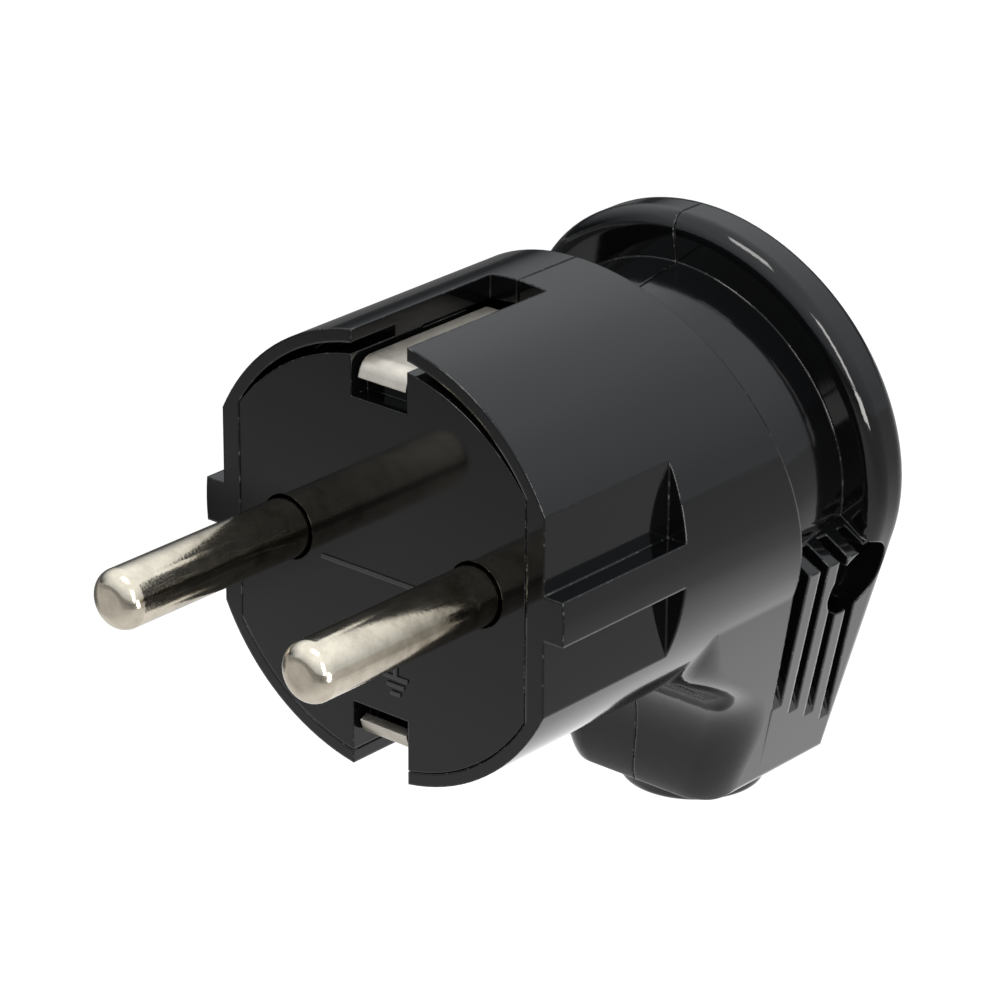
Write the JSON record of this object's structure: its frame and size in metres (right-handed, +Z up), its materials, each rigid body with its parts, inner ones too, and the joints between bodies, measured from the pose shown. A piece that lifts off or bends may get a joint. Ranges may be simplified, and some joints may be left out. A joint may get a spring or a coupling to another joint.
{
  "type": "angled plug",
  "caption": "Right-angle earthed two-pin plug with side earth contacts: round two-half casing, finned grip waist, round pull flange and a downward cord outlet with a bush.",
  "frame": {"origin": "middle of the engagement face, halfway between the two pins", "axes": "+X right seen from the pins' side with +Z up, +Y back into the plug and away from the pins, +Z up, with the cord outlet pointing down"},
  "size_m": [0.0364, 0.0656, 0.0498],
  "materials": {
    "casing": "high gloss black moulding",
    "carrier": "high gloss black moulding",
    "inner_plastic": "plain grey moulding",
    "bush": "high gloss black moulding",
    "pins": "bright nickel plate",
    "earth_strap": "dull nickel plate",
    "terminals": "turned brass",
    "steel_screws": "zinc plate"
  },
  "bodies": {
    "root": {"left_casing_half": "casing", "right_casing_half": "casing", "contact_carrier": "carrier", "carrier_back_plate": "inner_plastic", "upper_back_plate_screw": "steel_screws", "lower_back_plate_screw": "steel_screws", "left_pin": "pins", "right_pin": "pins", "left_pin_clamp_washer": "terminals", "right_pin_clamp_washer": "terminals", "left_pin_terminal_screw": "terminals", "right_pin_terminal_screw": "terminals", "earth_strap": "earth_strap", "earth_clamp_washer": "terminals", "earth_terminal_screw": "terminals", "front_cord_clamp": "inner_plastic", "rear_cord_clamp": "inner_plastic", "left_cord_clamp_screw": "steel_screws", "right_cord_clamp_screw": "steel_screws", "casing_screw": "steel_screws", "casing_nut": "steel_screws", "outlet_bush": "bush"}
  },
  "joints": []
}
